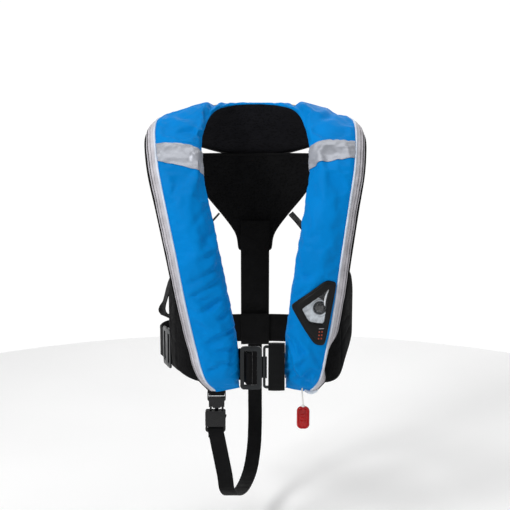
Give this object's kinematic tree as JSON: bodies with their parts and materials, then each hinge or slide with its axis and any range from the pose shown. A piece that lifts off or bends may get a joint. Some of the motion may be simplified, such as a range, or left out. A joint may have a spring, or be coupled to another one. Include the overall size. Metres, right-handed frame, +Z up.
{
  "type": "inflatable life jacket",
  "caption": "Packed inflatable life jacket: blue horseshoe collar with two front lobes, clear window over a gas inflator, pull cord, waist belt with hook buckle, crotch strap.",
  "frame": {"origin": "centre of the neck opening, level with the tops of the shoulders", "axes": "+X to the wearer's left, -Y to the wearer's front, +Z up"},
  "size_m": [0.3534, 0.304, 0.6522],
  "materials": {
    "cover_blue": "satin",
    "lining_black": "matte",
    "piping_silver": "satin",
    "zip_tape": "matte",
    "zip_teeth": "satin",
    "zip_metal": "satin",
    "reflective": "satin",
    "bladder_cloth": "satin",
    "window_rubber": "satin",
    "window_clear": "gloss",
    "inflator_plastic": "satin",
    "gasket": "matte",
    "cap_gloss": "gloss",
    "cartridge_white": "satin",
    "steel": "satin",
    "clip_green": "satin",
    "gas_steel": "satin",
    "cord_white": "matte",
    "handle_red": "gloss",
    "cap_red": "satin",
    "whistle_orange": "gloss",
    "webbing_black": "satin",
    "keeper_black": "satin",
    "buckle_black": "satin",
    "mesh_black": "matte",
    "buckle_plastic": "satin"
  },
  "bodies": {
    "pack": {"left_lobe_cover": "cover_blue", "right_lobe_cover": "cover_blue", "collar_cover": "cover_blue", "left_lobe_lining": "lining_black", "right_lobe_lining": "lining_black", "collar_lining": "lining_black", "edge_piping": "piping_silver", "zip_upper_tape": "zip_tape", "zip_lower_tape": "zip_tape", "zip_teeth": "zip_teeth", "zip_end_stops": "zip_metal", "left_reflective_band": "reflective", "right_reflective_band": "reflective", "bladder": "bladder_cloth", "window_frame": "window_rubber", "window_pane": "window_clear", "inflator_body": "inflator_plastic", "manifold": "inflator_plastic", "manifold_gasket": "gasket", "sensor_cartridge": "cartridge_white", "lever_pin": "steel", "cord_grommet": "inflator_plastic", "oral_tube": "inflator_plastic", "whistle": "whistle_orange", "whistle_cord": "cord_white", "waist_belt": "webbing_black", "buckle_frame": "buckle_black", "buckle_webbing": "webbing_black", "left_side_panel": "mesh_black", "right_side_panel": "mesh_black", "back_yoke": "mesh_black", "back_strap": "webbing_black", "left_rear_strap": "webbing_black", "right_rear_strap": "webbing_black", "crotch_tab": "webbing_black", "plug_body": "buckle_plastic", "crotch_rear_loop": "webbing_black"},
    "pull": {"pull_cord": "cord_white", "pull_handle": "handle_red"},
    "lever": {"firing_lever": "steel", "lever_clip": "clip_green"},
    "piercer": {"piercing_pin": "steel"},
    "sensor_cap": {"sensor_cap": "cap_gloss"},
    "gas_cylinder": {"gas_cylinder": "gas_steel"},
    "oral_cap": {"oral_cap": "cap_red"},
    "oral_valve": {"oral_valve": "cartridge_white"},
    "zip_slider": {"zip_slider": "zip_metal"},
    "zip_tab": {"zip_pull_tab": "zip_metal"},
    "ring": {"buckle_ring": "buckle_black", "ring_webbing": "webbing_black", "keeper_sleeve": "keeper_black"},
    "adjuster": {"belt_adjuster": "buckle_black"},
    "crotch_release": {"crotch_socket": "buckle_plastic", "crotch_strap": "webbing_black"},
    "prong_left": {"plug_prong_left": "buckle_plastic"},
    "prong_right": {"plug_prong_right": "buckle_plastic"}
  },
  "joints": [
    {"name": "cord_pull", "type": "slide", "parent": "pack", "child": "pull", "axis": [-0.1573, 0.0918, -0.9833], "range_m": [0, 0.0103]},
    {"name": "lever_turn", "type": "hinge", "parent": "pack", "child": "lever", "pos_m": [0.07057, -0.13536, -0.29271], "axis": [-0.0114, 0.9962, -0.0864], "range_deg": [0, 40.5]},
    {"name": "piercer_slide", "type": "slide", "parent": "pack", "child": "piercer", "axis": [0.13, 0.0872, 0.9877], "range_m": [0, 0.0039]},
    {"name": "sensor_cap_turn", "type": "hinge", "parent": "pack", "child": "sensor_cap", "pos_m": [0.0974, -0.131, -0.246], "axis": [0.0114, -0.9962, 0.0864], "range_deg": [0, 90]},
    {"name": "gas_cylinder_turn", "type": "hinge", "parent": "pack", "child": "gas_cylinder", "pos_m": [0.07113, -0.131, -0.24254], "axis": [0.13, 0.0872, 0.9877], "continuous": true},
    {"name": "oral_cap_pull", "type": "slide", "parent": "pack", "child": "oral_cap", "axis": [-0.1957, 0.0523, 0.9793], "range_m": [0, 0.012]},
    {"name": "oral_valve_press", "type": "slide", "parent": "pack", "child": "oral_valve", "axis": [0.1957, -0.0523, -0.9793], "range_m": [0, 0.003], "stiffness_N_per_m": 300},
    {"name": "zip_slide", "type": "slide", "parent": "pack", "child": "zip_slider", "axis": [-0.9879, 0.083, -0.1308], "range_m": [0, 0.02]},
    {"name": "zip_tab_swing", "type": "hinge", "parent": "zip_slider", "child": "zip_tab", "pos_m": [0.0262, 0.14706, -0.02806], "axis": [-0.0923, 0.3627, 0.9273], "range_deg": [0, 120]},
    {"name": "ring_swing", "type": "hinge", "parent": "pack", "child": "ring", "pos_m": [0.0455, -0.138, -0.342], "axis": [0, 0, 1], "range_deg": [0, 100]},
    {"name": "adjuster_slide", "type": "slide", "parent": "pack", "child": "adjuster", "axis": [-0.3539, 0.9353, 0], "range_m": [0, 0.012]},
    {"name": "crotch_release", "type": "slide", "parent": "pack", "child": "crotch_release", "axis": [0, 0, -1], "range_m": [0, 0.026]},
    {"name": "prong_left", "type": "hinge", "parent": "pack", "child": "prong_left", "pos_m": [-0.0698, -0.097, -0.415], "axis": [0, -1, 0], "range_deg": [0, 7], "stiffness_Nm_per_rad": 0.5},
    {"name": "prong_right", "type": "hinge", "parent": "pack", "child": "prong_right", "pos_m": [-0.0514, -0.097, -0.415], "axis": [0, 1, 0], "range_deg": [0, 7], "stiffness_Nm_per_rad": 0.5}
  ],
  "couplings": [
    {"joint": "lever_turn", "follows": "cord_pull", "rad_per_m": 67.5},
    {"joint": "piercer_slide", "follows": "cord_pull", "ratio": 0.369}
  ]
}
